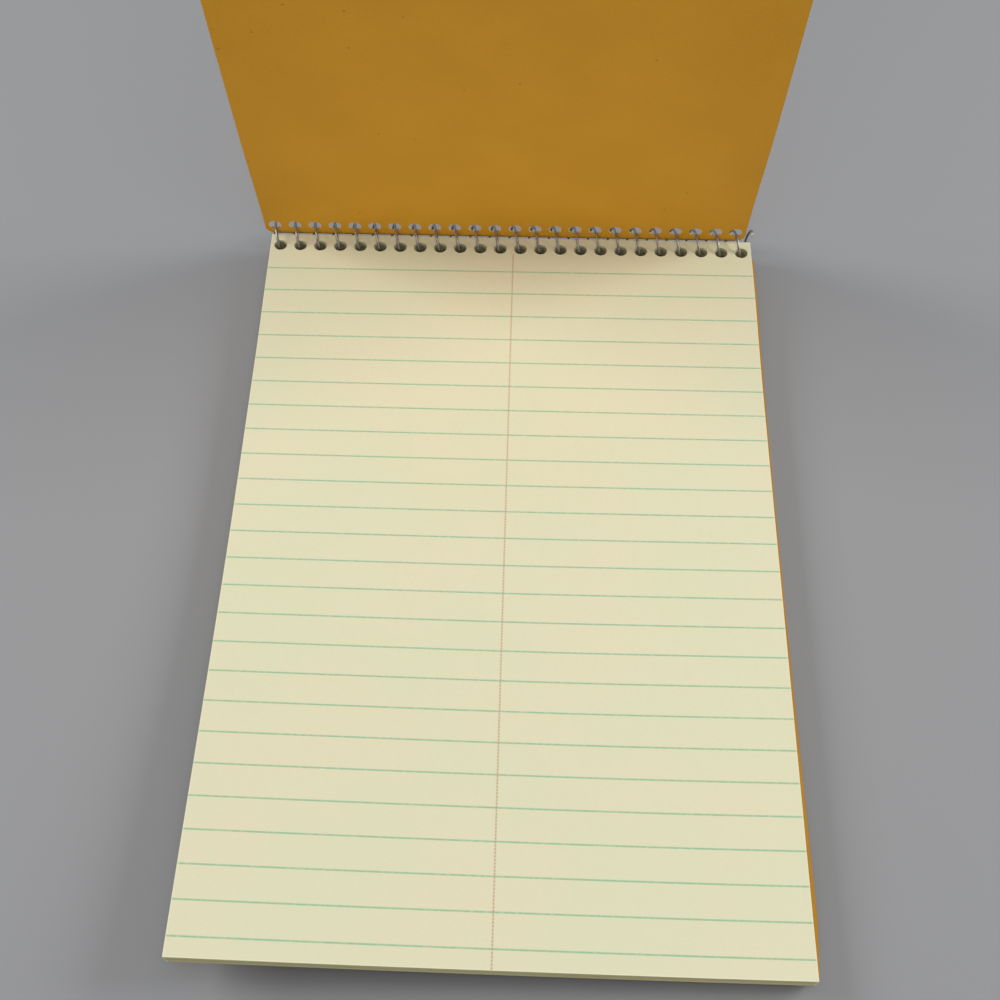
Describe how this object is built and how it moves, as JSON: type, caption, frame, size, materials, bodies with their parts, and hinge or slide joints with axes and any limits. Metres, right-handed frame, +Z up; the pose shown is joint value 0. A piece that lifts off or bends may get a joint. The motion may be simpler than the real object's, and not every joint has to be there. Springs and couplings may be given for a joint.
{
  "type": "steno book",
  "caption": "Top-bound spiral steno book with ruled pages and kraft card covers, front cover standing open.",
  "frame": {"origin": "under the middle of the book, on the surface that it lies on", "axes": "+X along the coil, +Y from the foot of the pages to the coil, +Z up from the table through the pages"},
  "size_m": [0.1562, 0.2346, 0.2335],
  "materials": {
    "pages": "uncoated green-tint writing paper, ruled",
    "wire": "bright drawn steel wire",
    "cover_card": "unbleached kraft card, matt"
  },
  "bodies": {
    "binding": {"page_block": "pages", "wire_coil": "wire"},
    "front_cover": {"front_cover": "cover_card"},
    "back_cover": {"back_cover": "cover_card"}
  },
  "joints": [
    {"name": "front_cover_hinge", "type": "hinge", "parent": "binding", "child": "front_cover", "pos_m": [0, 0.11137, 0.00798], "axis": [-1, 0, 0], "range_deg": [-80, 100]},
    {"name": "back_cover_hinge", "type": "hinge", "parent": "binding", "child": "back_cover", "pos_m": [0, 0.11137, 0.00413], "axis": [1, 0, 0], "range_deg": [0, 180]}
  ]
}
